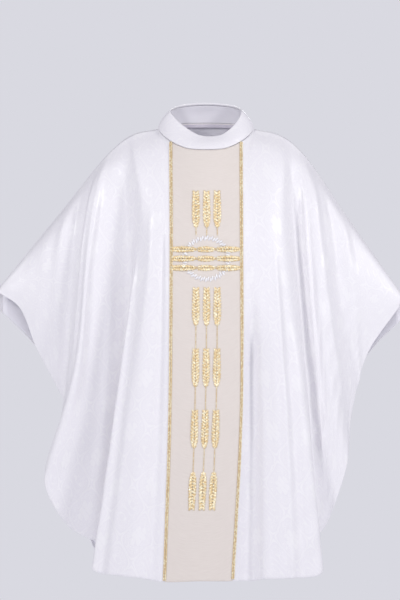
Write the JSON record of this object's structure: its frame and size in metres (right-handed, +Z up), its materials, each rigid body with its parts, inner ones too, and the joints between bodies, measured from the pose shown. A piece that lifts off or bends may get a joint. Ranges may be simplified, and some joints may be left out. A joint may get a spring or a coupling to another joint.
{
  "type": "chasuble",
  "caption": "Wide sleeveless liturgical vestment of white damask with a standing collar, a cream embroidered centre band and gold braid, draped as worn.",
  "frame": {"origin": "middle of the neck opening on the line of the shoulders, where the wearer's shoulders carry the garment", "axes": "+Z up, +X to the right of someone who looks at the front, the front faces -Y"},
  "size_m": [1.146, 0.4147, 1.3436],
  "materials": {
    "damask": "white silk-look damask, satin figures on a matt ground",
    "cream_band": "plain fine-ribbed cream cloth, matt",
    "lining": "plain white lining, slight sheen",
    "canvas": "stiff interlining and stay tape",
    "gold_braid": "woven metallic gold braid, glittering",
    "gold_thread": "metallic gold embroidery thread, satin stitch",
    "white_thread": "white rayon embroidery thread, satin stitch"
  },
  "bodies": {
    "root": {"front_panel_left": "damask", "front_panel_right": "damask", "front_band": "cream_band", "front_lining": "lining", "front_braid_left": "gold_braid", "front_braid_right": "gold_braid", "front_first_ear_left": "gold_thread", "front_ear_column_left": "gold_thread", "front_first_ear_middle": "gold_thread", "front_ear_column_middle": "gold_thread", "front_first_ear_right": "gold_thread", "front_ear_column_right": "gold_thread", "front_ear_row_upper": "gold_thread", "front_ear_row_middle": "gold_thread", "front_ear_row_lower": "gold_thread", "front_host_ring": "white_thread", "back_panel_left": "damask", "back_panel_right": "damask", "back_band": "cream_band", "back_lining": "lining", "back_braid_left": "gold_braid", "back_braid_right": "gold_braid", "back_first_ear_left": "gold_thread", "back_ear_column_left": "gold_thread", "back_first_ear_middle": "gold_thread", "back_ear_column_middle": "gold_thread", "back_first_ear_right": "gold_thread", "back_ear_column_right": "gold_thread", "back_ear_row_upper": "gold_thread", "back_ear_row_middle": "gold_thread", "back_ear_row_lower": "gold_thread", "back_host_ring": "white_thread", "collar_outside": "damask", "collar_interlining": "canvas", "collar_facing": "lining", "neck_stay_tape": "canvas"}
  },
  "joints": []
}
